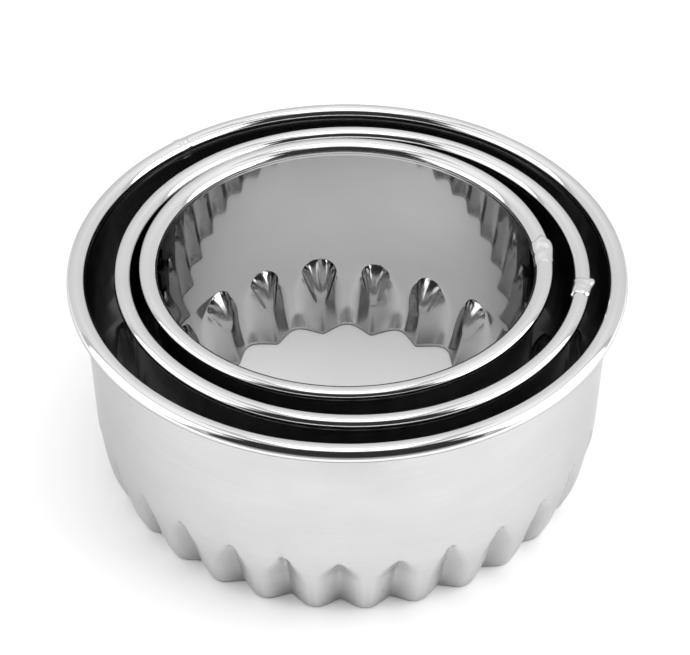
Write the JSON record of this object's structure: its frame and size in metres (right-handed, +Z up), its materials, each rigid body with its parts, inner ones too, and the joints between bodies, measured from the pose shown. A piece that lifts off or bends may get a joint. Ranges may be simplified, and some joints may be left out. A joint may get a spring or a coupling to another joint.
{
  "type": "fluted dough cutter set",
  "caption": "Nested set of loose round sheet-steel dough cutters, each with a curled rim and a crimped, fluted cutting edge.",
  "frame": {"origin": "middle of the large cutter's bounding box, on the surface that the set stands on", "axes": "+Z up from the cutting edges to the curled rims; -Y towards the picture's viewer; +X to the viewer's right"},
  "size_m": [0.095, 0.095, 0.0425],
  "materials": {
    "satin_sheet": "thin stainless strip with a fine brushed grain running round the ring",
    "crimped_sheet": "the same strip, burnished and slightly darker where the folds were pressed",
    "polished_curl": "bright, nearly mirror-smooth rolled bead",
    "joint_metal": "rough dressed end of the strip at the joint"
  },
  "bodies": {
    "large_cutter": {"large_wall": "satin_sheet", "large_fluted_edge": "crimped_sheet", "large_curled_rim": "polished_curl", "large_rim_lap": "joint_metal", "large_wall_lap": "satin_sheet"},
    "medium_cutter": {"medium_wall": "satin_sheet", "medium_fluted_edge": "crimped_sheet", "medium_curled_rim": "polished_curl", "medium_rim_lap": "joint_metal", "medium_wall_lap": "satin_sheet"},
    "small_cutter": {"small_wall": "satin_sheet", "small_fluted_edge": "crimped_sheet", "small_curled_rim": "polished_curl", "small_rim_lap": "joint_metal", "small_wall_lap": "satin_sheet"}
  },
  "joints": [
    {"name": "medium_lift", "type": "slide", "parent": "large_cutter", "child": "medium_cutter", "axis": [0, 0, 1], "range_m": [0, 0.05]},
    {"name": "small_lift", "type": "slide", "parent": "medium_cutter", "child": "small_cutter", "axis": [0, 0, 1], "range_m": [0, 0.05]}
  ]
}
